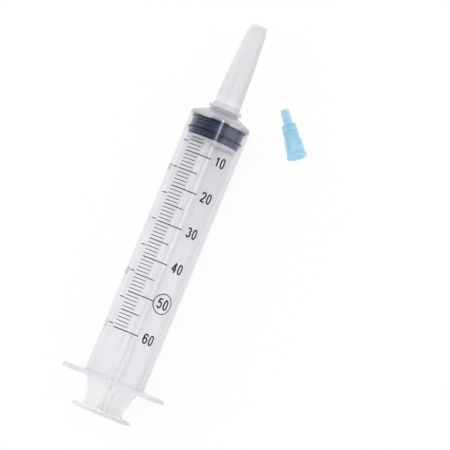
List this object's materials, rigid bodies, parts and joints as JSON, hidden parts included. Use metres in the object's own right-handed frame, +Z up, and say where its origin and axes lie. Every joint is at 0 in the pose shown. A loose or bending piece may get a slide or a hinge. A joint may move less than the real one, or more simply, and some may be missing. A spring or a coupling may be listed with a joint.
{
  "type": "irrigation syringe",
  "caption": "Piston irrigation syringe with a tapered catheter tip, a push-on tip protector, a rubber seal on a ribbed rod, and a separate tube adapter.",
  "frame": {"origin": "on the lower flat of the finger flange, in the middle of the flange's thickness, in the plane that the syringe lies on", "axes": "+X along the syringe's axis towards the tip, +Z up from the surface that it lies on, +Y across the wings of the flange"},
  "size_m": [0.1974, 0.0685, 0.0318],
  "materials": {
    "milky_barrel": "translucent milky polypropylene, smooth",
    "milky_rod": "milky polypropylene, smooth",
    "seal_rubber": "satin navy-black rubber",
    "milky_cap": "cloudy translucent polyethylene, satin",
    "blue_plastic": "clear light blue plastic, glossy"
  },
  "bodies": {
    "barrel": {"barrel": "milky_barrel"},
    "seal": {"plunger_seal": "seal_rubber"},
    "rod": {"plunger_rod": "milky_rod"},
    "protector": {"tip_protector": "milky_cap"},
    "adapter": {"tube_adapter": "blue_plastic"}
  },
  "joints": [
    {"name": "plunger_slide", "type": "slide", "parent": "barrel", "child": "seal", "axis": [-1, 0, 0], "range_m": [0, 0.1135]},
    {"name": "rod_turn", "type": "hinge", "parent": "seal", "child": "rod", "pos_m": [0.1224, 0, 0.0159], "axis": [1, 0, 0], "continuous": true},
    {"name": "protector_pull", "type": "slide", "parent": "barrel", "child": "protector", "axis": [1, 0, 0], "range_m": [0, 0.055]},
    {"name": "adapter_lift", "type": "slide", "parent": "barrel", "child": "adapter", "axis": [0, 0, 1], "range_m": [0, 0.06]}
  ]
}
